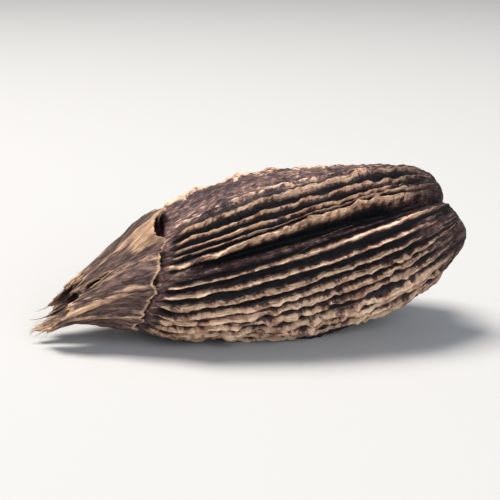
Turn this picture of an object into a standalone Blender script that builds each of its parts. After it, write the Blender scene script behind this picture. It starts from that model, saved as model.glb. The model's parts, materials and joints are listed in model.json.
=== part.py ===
"""A dried black cardamom pod lying on its side: the ribbed husk, and the torn calyx that crowns its tip.

Metres, +Z up, resting on z = 0. The stalk end points along +X and the calyx along -X. Angles round the
pod start at its front, which faces -Y, and rise over its top. Run it in Blender:

    blender --background --python part.py
"""

import math
import random

import bmesh
import bpy
import numpy as np

MM = 0.001

# Husk, from the stalk end (0) along its axis to the tip of the neck inside the calyx
HUSK_OUTLINE = [  # distance from the stalk end and radius, mm
    (0.7, 0.0), (0.7, 0.7), (0.5, 1.5), (0.3, 2.4), (0.9, 3.8), (2.8, 5.0),
    (6.2, 5.8), (10.5, 6.2), (14.8, 6.35), (18.4, 5.95), (21.0, 5.3), (22.95, 4.65),
    (23.3, 4.1), (23.5, 3.2), (25.2, 2.3), (26.8, 1.4), (27.5, 0.6), (27.6, 0.0),
]  # fmt: skip
HUSK_LENGTH = 27.6 * MM
HUSK_ROWS = 44
WIDTH_SHARE = 1.10  # across the pod, against its round outline
HEIGHT_SHARE = 0.98
# How far each lobe's end stands out past the stalk scar: angle and length
LOBE_ENDS = [
    (math.radians(-24), 2.0 * MM),
    (math.radians(205), 1.2 * MM),
    (math.radians(90), 0.3 * MM),
]
LOBE_END_WIDTH = math.radians(48)
LOBE_END_REACH = 3.5 * MM
SCAR_RADIUS = 3.0 * MM  # the lobes' ends rise from the stalk scar within this radius
STALK_LIFT = 1.2 * MM  # the axis bends up to the stalk end
STALK_BEND = 5.0 * MM  # over about this length
TIP_DROOP = 0.6 * MM  # and down to the neck's tip
BELLY = 0.09  # how much fuller the underside is near the stalk end, and slimmer near the calyx
BELLY_SPAN = (10.0 * MM, 24.0 * MM)

# Ribs, the wavy wings that run from the stalk end to the calyx, and wind round the pod as they go
FRONT_RIBS = [  # angle at mid length in degrees, and height; the rib at 36.5 is the lip over the first furrow
    (-26, 1.0), (-18.5, 0.9), (-11, 1.0), (-2.5, 0.9), (7, 1.0), (16, 1.0),
    (25, 0.5), (36.5, 1.35), (41, 0.7), (45.5, 0.7), (52.5, 0.8), (62.5, 1.0),
]  # fmt: skip
RIBS = 34
COLUMNS_PER_RIB = 4
RIB_HEIGHT = 1.0 * MM
RIB_SHARPNESS = 1.15
HIDDEN_RIB_HEIGHTS = (0.7, 1.0)
HIDDEN_RIB_GAPS = (0.75, 1.25)
RIB_STARTS = (1.0 * MM, 3.5 * MM)
RIB_START_FADE = (-2.0 * MM, 3.5 * MM)
FAINTEST_RIB = 0.08  # as a share of a full rib's height
RIB_SWAY = math.radians(1.2)
SWAY_LENGTHS = (22.0 * MM, 40.0 * MM)
RIB_TEETH = 0.14  # unevenness of the crest, as a share of its height
TOOTH_LENGTHS = (2.6 * MM, 4.2 * MM)
TOOTH_BEAT = 0.37  # a slower wave that makes the teeth come and go
RIB_SEED = 11
RIBS_END = 23.2 * MM  # where the calyx's seat cuts the ribs off
RIBS_END_FADE = 1.6 * MM
TWIST = math.radians(-1.4) / MM  # how fast the ribs wind, from where their angles are given
MID_LENGTH = 11.0 * MM

# Furrows between the three lobes: angle, depth, and width above and below the deepest line
FURROWS = [
    (math.radians(31.5), 2.5 * MM, math.radians(3.5), math.radians(10)),
    (math.radians(149), 1.2 * MM, math.radians(9), math.radians(9)),
    (math.radians(272), 1.1 * MM, math.radians(10), math.radians(10)),
]
FURROW_FADE_IN = (-1.0 * MM, 7.0 * MM)
FURROW_FADE_OUT = 5.0 * MM
FURROW_AT_SCAR = 0.35  # its depth beside the scar, as a share of its depth further on
DEEPEST_SHARE = 0.42  # no furrow is deeper than this share of the radius
# Smooth stretches where the ribs all but vanish: angle, width, and share of the ribs' height lost
SMOOTH_FACES = [
    (math.radians(93), math.radians(25), 0.88),
    (math.radians(25), math.radians(5), 0.85),
    (math.radians(208), math.radians(17), 0.45),
]

COLLAR_SLANT = 3.4 * MM  # how much further the underside of the husk reaches under the calyx
SLANT_SPAN = (13.0 * MM, 24.0 * MM)

# Two spots under the middle where the ribs are pressed flat and the pod rests: angle and distance
REST_SPOTS = [(math.radians(251), 12.5 * MM), (math.radians(294), 12.5 * MM)]
REST_SPOT_WIDTH = math.radians(16)
REST_SPOT_LENGTH = 6.0 * MM
REST_SPOT_FILL = 0.9 * MM

# Calyx, a torn paper-thin tube round the neck
CALYX_OUTLINE = [  # distance from the stalk end and radius, mm
    (23.75, 4.60), (25.3, 4.05), (27.2, 3.25), (29.1, 2.60), (31.0, 2.20),
]  # fmt: skip
CALYX_WALL = 0.6 * MM
CALYX_VEINS = 13
CALYX_COLUMNS = 65
CALYX_ROWS = 12
VEIN_HEIGHT = 0.14 * MM
CALYX_FLATTEN = 0.26  # how much the mouth is squashed
MOUTH_RAGGEDNESS = 0.07  # as a share of the tube's length
MOUTH_WAVES = (5, 9, 14)
CALYX_DROOP = 1.7 * MM
CALYX_SEED = 5
# Tears that run back from the mouth: angle, half width, and share of the tube's length
TEARS = [
    (math.radians(38), math.radians(17), 0.45),
    (math.radians(160), math.radians(13), 0.36),
    (math.radians(285), math.radians(15), 0.42),
]
FLAP_ANGLE = math.radians(60)  # where the root has peeled away from the husk
FLAP_WIDTH = math.radians(18)
FLAP_LIFT = 0.75 * MM
FLAP_LENGTH = 0.45  # as a share of the tube's length

# How the pod lies: its axis tips down towards the calyx, and the lowest ribs are worn flat
AXIS_TILT = math.radians(4.5)
AXIS_CENTRE = 16.25 * MM  # the axis point that stands over x = 0
AXIS_HEIGHT = 6.50 * MM
AXIS_SIDE = 0.14 * MM

HUSK_COLOUR = (0.115, 0.058, 0.036, 1.0)
CALYX_COLOUR = (0.300, 0.175, 0.105, 1.0)
HUSK_ROUGHNESS = 0.72
CALYX_ROUGHNESS = 0.82


def clear_scene():
    for thing in list(bpy.data.objects):
        bpy.data.objects.remove(thing)


def smoothstep(low, high, value):
    share = np.clip((value - low) / (high - low), 0.0, 1.0)
    return share * share * (3.0 - 2.0 * share)


def angle_from(angle, centre):
    """The signed angle from centre, between minus pi and pi."""
    return (angle - centre + math.pi) % (2.0 * math.pi) - math.pi


def bump(angle, centre, width):
    return np.exp(-((angle_from(angle, centre) / width) ** 2))


def outline_at(outline, along):
    """Distance and radius, in metres, at a share of the length of a smooth curve through the outline."""
    knots = np.array(outline) * MM
    knots = np.vstack([2 * knots[0] - knots[1], knots, 2 * knots[-1] - knots[-2]])
    steps = np.linspace(0.0, 1.0, 24, endpoint=False)[:, None]
    spans = []
    for before, start, end, after in zip(knots, knots[1:], knots[2:], knots[3:], strict=False):
        spans.append(
            start
            + 0.5 * steps * (end - before)
            + steps**2 * (before - 2.5 * start + 2 * end - 0.5 * after)
            + steps**3 * (1.5 * (start - end) + 0.5 * (after - before))
        )
    curve = np.vstack([*spans, knots[-2:-1]])
    length = np.concatenate([[0.0], np.cumsum(np.linalg.norm(np.diff(curve, axis=0), axis=1))])
    share = length / length[-1]
    return np.interp(along, share, curve[:, 0]), np.interp(along, share, curve[:, 1])


class Ribs:
    """The ribs' own places, heights, sways and reaches, drawn once from a seed."""

    def __init__(self):
        draw = random.Random(RIB_SEED)
        angles, heights = zip(*FRONT_RIBS, strict=True)
        hidden = RIBS - len(FRONT_RIBS)
        gaps = np.array([draw.uniform(*HIDDEN_RIB_GAPS) for _ in range(hidden + 1)])
        front = np.radians(angles)
        rest = front[-1] + (front[0] + 2 * math.pi - front[-1]) * np.cumsum(gaps)[:-1] / gaps.sum()
        self.crests = np.concatenate([front, rest, front[:1] + 2 * math.pi])
        middles = 0.5 * (self.crests[:-1] + self.crests[1:])
        self.valleys = np.concatenate([middles[-1:] - 2 * math.pi, middles])
        self.heights = np.array([*heights, *(draw.uniform(*HIDDEN_RIB_HEIGHTS) for _ in range(hidden))])
        self.starts = np.array([draw.uniform(*RIB_STARTS) for _ in range(RIBS)])
        self.sway_lengths = np.array([draw.uniform(*SWAY_LENGTHS) for _ in range(RIBS)])
        self.sway_phases = np.array([draw.uniform(0.0, 2 * math.pi) for _ in range(RIBS)])
        self.tooth_lengths = np.array([draw.uniform(*TOOTH_LENGTHS) for _ in range(RIBS)])
        self.tooth_phases = np.array([draw.uniform(0.0, 2 * math.pi) for _ in range(RIBS)])

    def sway(self, rib, distance):
        rib = rib % RIBS
        return RIB_SWAY * np.sin(2 * math.pi * distance / self.sway_lengths[rib] + self.sway_phases[rib])

    def angle(self, turn, distance):
        """The angle at mid length of the line that passes a point, which sways from rib to rib."""
        place = turn * RIBS
        rib = np.minimum(place.astype(int), RIBS - 1)
        share = place - rib
        low = self.valleys[rib] + self.sway(rib, distance)
        high = self.valleys[rib + 1] + self.sway(rib + 1, distance)
        middle = self.crests[rib] + 0.5 * (self.sway(rib, distance) + self.sway(rib + 1, distance))
        rising = low + 2 * share * (middle - low)
        falling = middle + (2 * share - 1) * (high - middle)
        return np.where(share < 0.5, rising, falling)

    def height(self, turn, distance, angle):
        """How far the husk rises above its valleys."""
        place = turn * RIBS
        rib = np.minimum(place.astype(int), RIBS - 1)
        crest = 1.0 - np.abs(2.0 * (place - rib) - 1.0)
        wave = 2 * math.pi * distance / self.tooth_lengths[rib] + self.tooth_phases[rib]
        tooth = np.sin(wave) * np.sin(TOOTH_BEAT * wave + rib)
        reach = smoothstep(*RIB_START_FADE, distance - self.starts[rib])
        reach = reach * (1.0 - smoothstep(RIBS_END - RIBS_END_FADE, RIBS_END, distance))
        strength = np.ones_like(angle)
        for centre, width, loss in SMOOTH_FACES:
            strength -= loss * bump(angle, centre, width)
        strength = np.maximum(strength, FAINTEST_RIB) * reach * (1.0 + RIB_TEETH * tooth)
        return RIB_HEIGHT * self.heights[rib] * strength * crest**RIB_SHARPNESS


def furrow_depth(angle, distance):
    """How far the three furrows between the lobes sink in, from the stalk scar to the calyx."""
    depth = np.zeros_like(angle)
    fade = FURROW_AT_SCAR + (1.0 - FURROW_AT_SCAR) * smoothstep(*FURROW_FADE_IN, distance)
    fade = fade * (1.0 - smoothstep(RIBS_END - FURROW_FADE_OUT, RIBS_END, distance))
    for centre, deepest, above, below in FURROWS:
        offset = angle_from(angle, centre)
        width = np.where(offset > 0.0, above, below)
        depth += deepest * fade * np.exp(-((offset / width) ** 2))
    return depth


def axis_rise(distance):
    """How far the pod's bent axis lies above a straight one."""
    lift = STALK_LIFT * np.exp(-np.maximum(distance, 0.0) / STALK_BEND)
    return lift - TIP_DROOP * np.clip(distance / HUSK_LENGTH, 0.0, 2.0) ** 3


def lay_down(distance, radius, angle, rise):
    """Sets points given round the pod's own axis down on the surface, as columns x, y and z."""
    turned = angle + TWIST * (distance - MID_LENGTH)
    slant = COLLAR_SLANT * 0.5 * (1.0 - np.sin(turned)) * smoothstep(*SLANT_SPAN, distance)
    along_axis = AXIS_CENTRE - distance - slant
    side = -radius * WIDTH_SHARE * np.cos(turned) + AXIS_SIDE
    belly = 1.0 + BELLY * (1.0 - 2.0 * smoothstep(*BELLY_SPAN, distance)) * np.maximum(-np.sin(turned), 0.0)
    up = radius * HEIGHT_SHARE * belly * np.sin(turned) + rise
    x = along_axis * math.cos(AXIS_TILT) - up * math.sin(AXIS_TILT)
    z = along_axis * math.sin(AXIS_TILT) + up * math.cos(AXIS_TILT) + AXIS_HEIGHT
    return np.stack([x, side, np.maximum(z, 0.0)], axis=-1)


def husk_points(turn, along):
    ribs = Ribs()
    distance, radius = outline_at(HUSK_OUTLINE, along)
    angle = ribs.angle(turn, distance)
    turned = angle + TWIST * (distance - MID_LENGTH)
    sunk = np.minimum(furrow_depth(angle, distance), DEEPEST_SHARE * radius)
    raised = ribs.height(turn, distance, angle)
    for centre, middle in REST_SPOTS:
        spot = bump(angle, centre, REST_SPOT_WIDTH) * np.exp(-(((distance - middle) / REST_SPOT_LENGTH) ** 2))
        raised = np.maximum(raised, REST_SPOT_FILL * spot)
    shoulder = np.exp(-distance / LOBE_END_REACH) * smoothstep(0.0, SCAR_RADIUS, radius)
    for centre, length in LOBE_ENDS:
        distance = distance - length * shoulder * bump(turned, centre, LOBE_END_WIDTH)
    return lay_down(distance, radius - sunk + raised, angle, axis_rise(distance))


def mesh_object(name, shape, collection):
    mesh = bpy.data.meshes.new(name)
    shape.to_mesh(mesh)
    shape.free()
    made = bpy.data.objects.new(name, mesh)
    collection.objects.link(made)
    mesh.shade_smooth()
    return made


def make_husk(collection):
    """A sphere, one column of points on each rib's crest, flanks and valley, moved onto the pod's surface."""
    shape = bmesh.new()
    bmesh.ops.create_uvsphere(shape, u_segments=RIBS * COLUMNS_PER_RIB, v_segments=HUSK_ROWS, radius=1.0)
    points = np.array([v.co for v in shape.verts])
    turn = (np.arctan2(points[:, 1], points[:, 0]) / (2 * math.pi)) % 1.0
    turn = np.round(turn * RIBS * COLUMNS_PER_RIB) / (RIBS * COLUMNS_PER_RIB) % 1.0
    along = np.arccos(np.clip(points[:, 2], -1.0, 1.0)) / math.pi
    for vertex, place in zip(shape.verts, husk_points(turn, along), strict=True):
        vertex.co = place
    shape.normal_update()
    bmesh.ops.recalc_face_normals(shape, faces=shape.faces)
    return mesh_object("husk", shape, collection)


def calyx_points(turn, along):
    angle = 2 * math.pi * turn
    draw = random.Random(CALYX_SEED)
    waves = [np.sin(rate * angle + draw.uniform(0.0, 2 * math.pi)) for rate in MOUTH_WAVES]
    reach = 1.0 + MOUTH_RAGGEDNESS * (np.mean(waves, axis=0) - 1.0)
    for centre, width, share in TEARS:
        offset = np.abs(angle_from(angle, centre)) / width
        reach = reach * (1.0 - share * np.maximum(0.0, 1.0 - offset))
    place = along * reach
    distance, radius = outline_at(CALYX_OUTLINE, place)
    radius = radius + VEIN_HEIGHT * np.cos(CALYX_VEINS * angle)
    peeled = bump(angle, FLAP_ANGLE, FLAP_WIDTH) * (1.0 - smoothstep(0.0, FLAP_LENGTH, place))
    radius = radius + FLAP_LIFT * peeled
    squash = 1.0 - CALYX_FLATTEN * smoothstep(0.0, 1.0, place) * np.sin(angle) ** 2
    untwisted = angle - TWIST * (distance - MID_LENGTH)
    return lay_down(distance, radius * squash, untwisted, axis_rise(distance) - CALYX_DROOP * place**2)


def make_calyx(collection):
    """An open tube with a ragged, torn mouth, thickened inwards into a thin wall."""
    shape = bmesh.new()
    bmesh.ops.create_grid(shape, x_segments=CALYX_COLUMNS, y_segments=CALYX_ROWS, size=0.5)
    points = np.array([v.co for v in shape.verts]) + 0.5
    for vertex, place in zip(shape.verts, calyx_points(points[:, 0], points[:, 1]), strict=True):
        vertex.co = place
    bmesh.ops.remove_doubles(shape, verts=shape.verts, dist=1e-6)
    shape.normal_update()
    bmesh.ops.recalc_face_normals(shape, faces=shape.faces)
    made = mesh_object("calyx", shape, collection)
    wall = made.modifiers.new("wall", "SOLIDIFY")
    wall.thickness = CALYX_WALL
    wall.offset = -1.0
    return made


def finish(thing, name, colour, roughness):
    material = bpy.data.materials.new(name)
    material.use_nodes = True
    shader = material.node_tree.nodes["Principled BSDF"]
    shader.inputs["Base Color"].default_value = colour
    shader.inputs["Roughness"].default_value = roughness
    shader.inputs["Metallic"].default_value = 0.0
    material.diffuse_color = colour
    thing.data.materials.append(material)


def main():
    clear_scene()
    pod = bpy.data.collections.new("black cardamom pod")
    bpy.context.scene.collection.children.link(pod)
    finish(make_husk(pod), "husk skin", HUSK_COLOUR, HUSK_ROUGHNESS)
    finish(make_calyx(pod), "calyx paper", CALYX_COLOUR, CALYX_ROUGHNESS)


main()
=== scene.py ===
"""The looks of a dried black cardamom pod lying on its side: the ribbed, grainy husk with its
torn lip, the veined, papery calyx that crowns its tip, and the loose fibres on both.

Metres, +Z up, resting on z = 0. The stalk end points along +X and the calyx along -X. Angles
round the pod start at its front, which faces -Y, and rise over its top. The husk and calyx keep
the main forms of the nodes that they replace, and carry far finer relief.
"""

import json
import math
import random

import bmesh
import bpy
import numpy as np
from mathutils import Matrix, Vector, noise

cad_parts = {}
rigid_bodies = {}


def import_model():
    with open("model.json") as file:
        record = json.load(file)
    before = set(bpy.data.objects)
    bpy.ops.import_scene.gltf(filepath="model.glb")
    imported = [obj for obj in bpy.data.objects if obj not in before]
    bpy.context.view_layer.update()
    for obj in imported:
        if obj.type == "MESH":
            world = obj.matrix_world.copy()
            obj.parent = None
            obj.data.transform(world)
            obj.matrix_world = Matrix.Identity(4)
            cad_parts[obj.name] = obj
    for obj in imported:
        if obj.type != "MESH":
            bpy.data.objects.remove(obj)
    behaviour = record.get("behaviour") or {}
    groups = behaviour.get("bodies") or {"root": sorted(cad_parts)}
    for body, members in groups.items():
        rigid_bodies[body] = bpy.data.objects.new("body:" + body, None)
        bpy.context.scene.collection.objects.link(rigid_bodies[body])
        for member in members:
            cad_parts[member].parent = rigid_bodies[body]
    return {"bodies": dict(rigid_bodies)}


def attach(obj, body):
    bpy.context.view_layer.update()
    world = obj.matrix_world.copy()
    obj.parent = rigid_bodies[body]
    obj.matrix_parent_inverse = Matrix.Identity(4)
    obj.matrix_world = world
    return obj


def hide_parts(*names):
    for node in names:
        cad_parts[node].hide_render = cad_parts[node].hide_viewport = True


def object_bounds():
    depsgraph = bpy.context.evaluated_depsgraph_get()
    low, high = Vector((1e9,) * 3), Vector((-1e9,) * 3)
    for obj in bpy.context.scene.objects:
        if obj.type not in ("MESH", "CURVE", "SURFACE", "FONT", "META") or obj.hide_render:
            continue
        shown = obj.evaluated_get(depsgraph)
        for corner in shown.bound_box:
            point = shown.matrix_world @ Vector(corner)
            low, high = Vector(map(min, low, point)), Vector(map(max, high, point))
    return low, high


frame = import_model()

MM = 0.001
CAD_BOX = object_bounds()
BODY = next(iter(frame["bodies"]))

OUTLINE_STEPS = 24  # points of a smooth outline between two of its knots
SEED_STEP = 7.31  # how far apart the noises of two seeds lie
NOISE_GAIN = 1.4  # brings noise to about -1 to 1
# Torn noise: how rough it is, how much finer each level is, and its gain
TORN_ROUGHNESS = 0.7
TORN_STEP = 2.3
TORN_GAIN = 1.3

# Husk, from the stalk end (0) along its axis to the tip of the neck inside the calyx
HUSK_OUTLINE = [  # distance from the stalk end and radius, mm
    (0.7, 0.0), (0.7, 0.7), (0.5, 1.5), (0.3, 2.4), (0.9, 3.8), (2.8, 5.0),
    (6.2, 5.8), (10.5, 6.2), (14.8, 6.35), (18.4, 5.95), (21.0, 5.3), (22.95, 4.65),
    (23.3, 4.1), (23.5, 3.2), (25.2, 2.3), (26.8, 1.4), (27.5, 0.6), (27.6, 0.0),
]  # fmt: skip
HUSK_LENGTH = 27.6 * MM
HUSK_ROWS = 228
MEAN_RADIUS = 6.0 * MM
WIDTH_SHARE = 1.10  # across the pod, against its round outline
HEIGHT_SHARE = 0.98
# How far each lobe's end stands out past the stalk scar: angle and length
LOBE_ENDS = [
    (math.radians(-24), 2.0 * MM),
    (math.radians(205), 1.2 * MM),
    (math.radians(90), 0.3 * MM),
]
LOBE_END_WIDTH = math.radians(48)
LOBE_END_REACH = 3.5 * MM
SCAR_RADIUS = 3.0 * MM  # the lobes' ends rise from the scar's middle to here
STALK_LIFT = 1.2 * MM
STALK_BEND = 5.0 * MM
TIP_DROOP = 0.6 * MM
BELLY = 0.09
BELLY_SPAN = (10.0 * MM, 24.0 * MM)

# Ribs, the wavy wings that run from the stalk end to the calyx, and wind round the pod as they go
FRONT_RIBS = [  # angle at mid length in degrees, and height as a share of a full rib's
    (-26, 1.0), (-18.5, 0.9), (-11, 1.0), (-2.5, 0.9), (7, 1.0), (16, 1.0),
    (25, 0.5), (36.5, 1.35), (41, 0.7), (45.5, 0.7), (52.5, 0.8), (62.5, 1.0),
]  # fmt: skip
LIP = 7  # the rib that hangs over the first furrow
RIBS = 34
COLUMNS_PER_RIB = 12
CREST_CROWDING = 0.35  # how much closer the columns stand on the crests than in the valleys
RIB_HEIGHT = 1.0 * MM
RIB_SHARPNESS = 1.15
HIDDEN_RIB_HEIGHTS = (0.7, 1.0)
HIDDEN_RIB_GAPS = (0.75, 1.25)
RIB_STARTS = (1.0 * MM, 3.5 * MM)
RIB_START_FADE = (-2.0 * MM, 3.5 * MM)
FAINTEST_RIB = 0.08
RIB_SWAY = math.radians(1.2)
SWAY_LENGTHS = (22.0 * MM, 40.0 * MM)
RIB_TEETH = 0.14
TOOTH_LENGTHS = (2.6 * MM, 4.2 * MM)
TOOTH_BEAT = 0.37
RIB_SEED = 11
RIBS_END = 23.2 * MM
RIBS_END_FADE = 1.6 * MM
TWIST = math.radians(-1.4) / MM
MID_LENGTH = 11.0 * MM

# Furrows between the three lobes: angle, depth, and width above and below the deepest line
FURROWS = [
    (math.radians(31.5), 2.5 * MM, math.radians(3.5), math.radians(10)),
    (math.radians(149), 1.2 * MM, math.radians(9), math.radians(9)),
    (math.radians(272), 1.1 * MM, math.radians(10), math.radians(10)),
]
FURROW_FADE_IN = (-1.0 * MM, 7.0 * MM)
FURROW_FADE_OUT = 5.0 * MM
FURROW_AT_SCAR = 0.35
DEEPEST_FURROW = 2.5 * MM
DEEPEST_SHARE = 0.42
# Smooth stretches where the ribs all but vanish: angle, width, and share of the ribs' height lost
SMOOTH_FACES = [
    (math.radians(93), math.radians(25), 0.88),
    (math.radians(25), math.radians(5), 0.85),
    (math.radians(208), math.radians(17), 0.45),
]
COLLAR_SLANT = 3.4 * MM
SLANT_SPAN = (13.0 * MM, 24.0 * MM)
REST_SPOTS = [(math.radians(251), 12.5 * MM), (math.radians(294), 12.5 * MM)]
REST_SPOT_WIDTH = math.radians(16)
REST_SPOT_LENGTH = 6.0 * MM
REST_SPOT_FILL = 0.9 * MM

# A rib's section, a thin wing on a low ridge, and the ragged and broken stretches of its edge:
# size across the ribs, size along them, and share of the rib's height
WING_SHARE = 0.6
WING_SHARPNESS = 3.0
RAGGED_EDGE = (3.0 * MM, 0.9 * MM, 0.22)
BROKEN_EDGE = (2.4 * MM, 1.7 * MM, 0.42)
BREAKS = (0.35, 0.75)  # the noise at which an edge begins to break, and is broken

# The husk's fine relief: size across the ribs, size along them, and height
CRINKLE = (3.0 * MM, 2.4 * MM, 0.09 * MM)  # sideways, at the crests
FINE_CRINKLE = (1.5 * MM, 0.60 * MM, 0.045 * MM)
FIBRE_RIDGES = (0.33 * MM, 3.6 * MM, 0.055 * MM)
LUMPS = (1.1 * MM, 1.5 * MM, 0.12 * MM)
CROSS_WRINKLES = (1.7 * MM, 0.5 * MM, 0.07 * MM)
COARSE_GRAIN = (0.45 * MM, 0.50 * MM, 0.085 * MM)
SKIN_RELIEF = [FIBRE_RIDGES, LUMPS, CROSS_WRINKLES, COARSE_GRAIN]
END_RELIEF = [(1.0 * MM, 0.15 * MM), (0.35 * MM, 0.07 * MM)]  # size and height, round the scar
END_RELIEF_FADE = (1.5 * MM, 7.0 * MM)
RELIEF_RADIUS = 1.5 * MM  # where the pod is thinner than this, its relief fades
BEND_RADIUS = 1.0 * MM  # where it is thinner than this, crinkles turn no further

# The lip, a broad rib that leans over the first furrow
LIP_LUMPS = (0.6 * MM, 0.9 * MM, 0.17)
LIP_SWELLS = (0.0, 0.9)  # how far up the rib it starts to swell, and is full
LIP_FADE = (3.0 * MM, 11.0 * MM)  # it is thin near the stalk end
LIP_THINNEST = 0.45
LIP_OVERHANG = 0.12 * MM
LIP_EDGE = (4.0 * MM, 1.3 * MM, 0.20 * MM)
LIP_LEANS = (0.2, 0.9)

# The stalk scar, a torn rim round a shallow pit
SCAR_RIM = (1.35 * MM, 0.30 * MM, 0.40 * MM)  # radius, width and height
SCAR_RIM_LUMPS = (0.5 * MM, 0.6)  # size, and share of the rim's height
SCAR_PIT = 0.45 * MM
SCAR_PIT_FLOOR = 0.7  # share of the rim's radius
SCAR_PIT_LUMPS = (0.3 * MM, 0.35)  # size, and share of the pit's depth

# Where the skin's masks show: how strong a rib is, and how far up it a point lies
WORN_RIBS = (0.1, 0.6)
WORN_BAND = (0.50, 1.0)
WORN_EDGE = (0.3, 1.2)  # the least and most that a ragged edge counts
# The painted shade that darkens the valleys between the ribs
VALLEY_SHADE = 0.8
VALLEY_SHADE_GAIN = 1.3  # how much more a valley counts than the ribs beside it
LIP_BAND = (0.25, 0.8)
SCAR_PIT_TONE = 0.6
# The dark stretch at the stalk end, which goes further over the top, at this angle and width
DARK_END = (1.0 * MM, 5.0 * MM, 5.5 * MM)
DARK_TOP = (math.radians(80), math.radians(42))
# Painted light that brightens the smooth side of the first furrow, in the lip's shadow: angle and
# width, and where it comes and goes
FLANK_LIGHT = (math.radians(20), math.radians(6))
FLANK_LIGHT_SPAN = (2.0 * MM, 6.0 * MM, 7.0 * MM, 14.0 * MM)

# Calyx, a torn paper-thin tube round the neck. Shares are of its length
CALYX_OUTLINE = [  # distance from the stalk end and radius, mm
    (22.95, 4.92), (23.85, 4.68), (25.3, 4.05), (27.2, 3.25), (29.1, 2.60), (31.0, 2.20),
]  # fmt: skip
CALYX_PAPER = 0.16 * MM
CALYX_COLUMNS = 261
CALYX_ROWS = 84
CALYX_FLATTEN = 0.26
CALYX_DROOP = 1.7 * MM
CALYX_SEED = 5
# Its veins, and how they wander and fade: size across them, size along them, and how much
CALYX_VEINS = 13
VEIN_HEIGHT = 0.18 * MM
VEIN_SHARPNESS = 4.0
VEIN_SWAY = (4.0 * MM, 5.0 * MM, 0.35)  # the last is a share of the gap between two veins
VEIN_FADE = (2.0 * MM, 6.0 * MM, 0.4)
# Its mouth, and the tears in it: angle, width and depth
MOUTH_RAGGEDNESS = 0.07
MOUTH_WAVES = (5, 9, 14)
TEARS = [
    (math.radians(38), math.radians(17), 0.45),
    (math.radians(160), math.radians(13), 0.36),
    (math.radians(285), math.radians(15), 0.42),
]
TORN_THREADS = (0.35 * MM, 0.07)  # width of a torn thread, and how far it moves the edge
# Its root
ROOT_LAP = 0.10  # how much later it starts on the underside than over the top
ROOT_NOTCHES = (1.5 * MM, 0.05)  # width and depth
# The flap peeled off at its root
FLAP_ANGLE = math.radians(60)
FLAP_WIDTH = math.radians(18)
FLAP_LIFT = 0.75 * MM
FLAP_LENGTH = 0.45
FLAP_CURL = 0.45 * MM
FLAP_CURL_LENGTH = 0.18
FLAP_GAP = 0.13  # how much later the paper starts there
FLAP_OPENS = (0.45, 0.75)  # how far into the flap the gap begins, and is whole
# A pale fold that runs along its top
FOLD_ANGLE = math.radians(80)
FOLD_WIDTH = math.radians(8)
FOLD_HEIGHT = 0.20 * MM
FOLD_SWAY = 0.08
# Its fine relief: size across the fibres, size along them, and height
CALYX_CRUMPLE = (1.5 * MM, 2.4 * MM, 0.24 * MM)
CALYX_DENTS = (0.8 * MM, 0.9 * MM, 0.09 * MM)
CALYX_FIBRES = (0.28 * MM, 3.0 * MM, 0.045 * MM)
PAPER_RELIEF = [CALYX_CRUMPLE, CALYX_DENTS, CALYX_FIBRES]
PAPER_RELIEF_FADE = 0.2
# Where the paper's masks show
FOLD_TONE = 0.9
RIM_BAND = (0.0, 0.05)
MOUTH_BAND = (0.90, 1.0)
PEELED_BAND = (0.25, 0.65)
PEELED_FADE = (0.20, 0.50)

# Loose fibres: how many, their lengths and their thicknesses
HUSK_THREADS = (80, (1.0 * MM, 4.5 * MM), (0.03 * MM, 0.06 * MM))
MOUTH_THREADS = (46, (0.5 * MM, 1.9 * MM), (0.03 * MM, 0.07 * MM))
SCAR_THREADS = (44, (0.25 * MM, 0.70 * MM), (0.05 * MM, 0.10 * MM))
THREAD_SEED = 23
THREAD_POINTS = 12
THREAD_TAPER = 0.75
THREAD_GAP = 0.02 * MM  # how far off the surface they lie
# On the husk: where they start and may reach, how far they start and stray from a crest, in ribs,
# and how high a free end lifts
HUSK_ARC = 37.0 * MM  # the husk's length along its outline, from scar to neck
HUSK_THREAD_STARTS = (0.12, 0.62)
HUSK_THREAD_REACH = (0.05, 0.70)
HUSK_THREAD_PLACES = (-0.12, 0.12)
HUSK_THREAD_STRAYS = (-0.5, 0.5)
HUSK_THREAD_LIFT = 0.45 * MM
HUSK_THREAD_LIFTS = (0.2, 1.0)
HUSK_THREAD_CURVE = 2.5
# At the mouth: the stretch of paper that they leave, how they bend across and up, and how far they
# may pass the pod's end
MOUTH_THREAD_ROOTS = (0.80, 0.88, 0.94, 0.995)
MOUTH_THREAD_BENDS = ((-0.6, 0.6), (-0.5, 0.3))
THREADS_PROUD = 0.6 * MM
# Round the scar: where and how deep they stand, and how they spread and bend across and up
SCAR_THREAD_ROOTS = (0.024, 0.042)
SCAR_THREAD_DEPTH = 0.15
SCAR_THREAD_SPREADS = ((-0.5, 0.5), (-0.5, 0.5))
SCAR_THREAD_BENDS = ((-0.5, 0.5), (-0.5, 0.2))

AXIS_TILT = math.radians(4.5)
AXIS_CENTRE = 16.25 * MM
AXIS_HEIGHT = 6.50 * MM
AXIS_SIDE = 0.14 * MM

# The tones of each surface, from the painted shade in a furrow to a worn crest
HUSK_TONES = {
    "Patchy": 2.0,
    # The darkest tone is painted shade, near black, laid down the furrows and between the ribs
    "Shade": (0.006, 0.006, 0.009, 1.0),
    "Dark": (0.062, 0.035, 0.038, 1.0),
    "Mid": (0.290, 0.165, 0.143, 1.0),
    "Rust": (0.550, 0.290, 0.180, 1.0),
    "Light": (0.960, 0.670, 0.450, 1.0),
}
CALYX_TONES = {
    "Patchy": 0.9,
    "Dark": (0.060, 0.036, 0.034, 1.0),
    "Mid": (0.240, 0.148, 0.122, 1.0),
    "Rust": (0.400, 0.230, 0.145, 1.0),
    "Light": (0.740, 0.490, 0.300, 1.0),
}
FIBRE_TONES = {
    "Crest": 0.35,
    "Patchy": 1.0,
    "Dark": (0.110, 0.062, 0.042, 1.0),
    "Mid": (0.330, 0.205, 0.130, 1.0),
    "Rust": (0.400, 0.220, 0.130, 1.0),
    "Light": (0.620, 0.420, 0.260, 1.0),
}
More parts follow.
